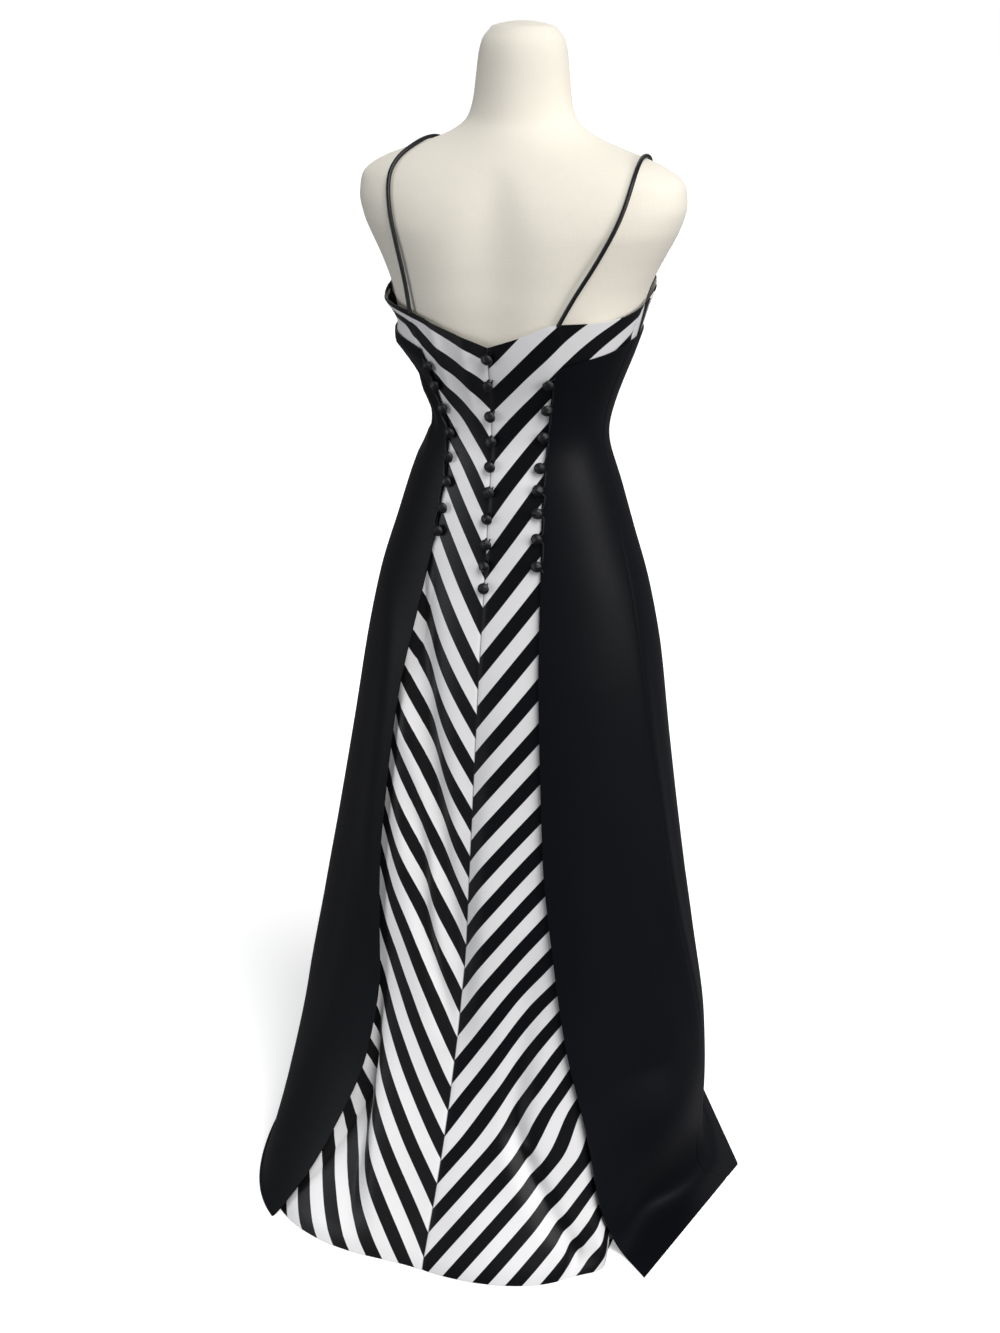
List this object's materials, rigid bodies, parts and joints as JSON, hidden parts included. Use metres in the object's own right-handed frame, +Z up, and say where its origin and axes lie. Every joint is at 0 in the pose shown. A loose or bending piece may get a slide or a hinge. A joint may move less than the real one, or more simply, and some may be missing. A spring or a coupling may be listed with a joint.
{
  "type": "evening gown on dress form",
  "caption": "Floor-length evening gown, chevron-striped satin sheath under an open-backed black satin overskirt with covered buttons and cord straps, standing on a limbless dress form.",
  "frame": {"origin": "on the floor, at the middle of the stand's round base, under the form's upright axis", "axes": "+Z up; the gown faces -Y, its back is towards +Y, and the wearer's right side is towards -X"},
  "size_m": [0.6662, 0.5742, 1.529],
  "materials": {
    "striped_satin": "satin, diagonal black and off-white stripes of equal width",
    "black_satin": "heavy matt satin",
    "form_jersey": "matt off-white woven cover stretched over the form",
    "painted_metal": "satin black paint"
  },
  "bodies": {
    "root": {"stripe_back_right": "striped_satin", "stripe_back_left": "striped_satin", "stripe_front_right": "striped_satin", "stripe_front_left": "striped_satin", "black_back_right": "black_satin", "black_back_left": "black_satin", "black_front": "black_satin", "strap_right": "black_satin", "strap_left": "black_satin", "button_centre_01": "black_satin", "button_centre_02": "black_satin", "button_centre_03": "black_satin", "button_centre_04": "black_satin", "button_centre_05": "black_satin", "button_centre_06": "black_satin", "button_centre_07": "black_satin", "button_centre_08": "black_satin", "button_centre_09": "black_satin", "button_centre_10": "black_satin", "button_right_01": "black_satin", "button_right_02": "black_satin", "button_right_03": "black_satin", "button_right_04": "black_satin", "button_right_05": "black_satin", "button_right_06": "black_satin", "button_right_07": "black_satin", "button_right_08": "black_satin", "button_left_01": "black_satin", "button_left_02": "black_satin", "button_left_03": "black_satin", "button_left_04": "black_satin", "button_left_05": "black_satin", "button_left_06": "black_satin", "button_left_07": "black_satin", "button_left_08": "black_satin", "loop_centre_01": "black_satin", "loop_centre_02": "black_satin", "loop_centre_03": "black_satin", "loop_centre_04": "black_satin", "loop_centre_05": "black_satin", "loop_centre_06": "black_satin", "loop_centre_07": "black_satin", "loop_centre_08": "black_satin", "loop_centre_09": "black_satin", "loop_centre_10": "black_satin", "loop_cord_right": "black_satin", "loop_cord_left": "black_satin", "form_torso": "form_jersey", "form_pole": "painted_metal", "form_base": "painted_metal"}
  },
  "joints": []
}
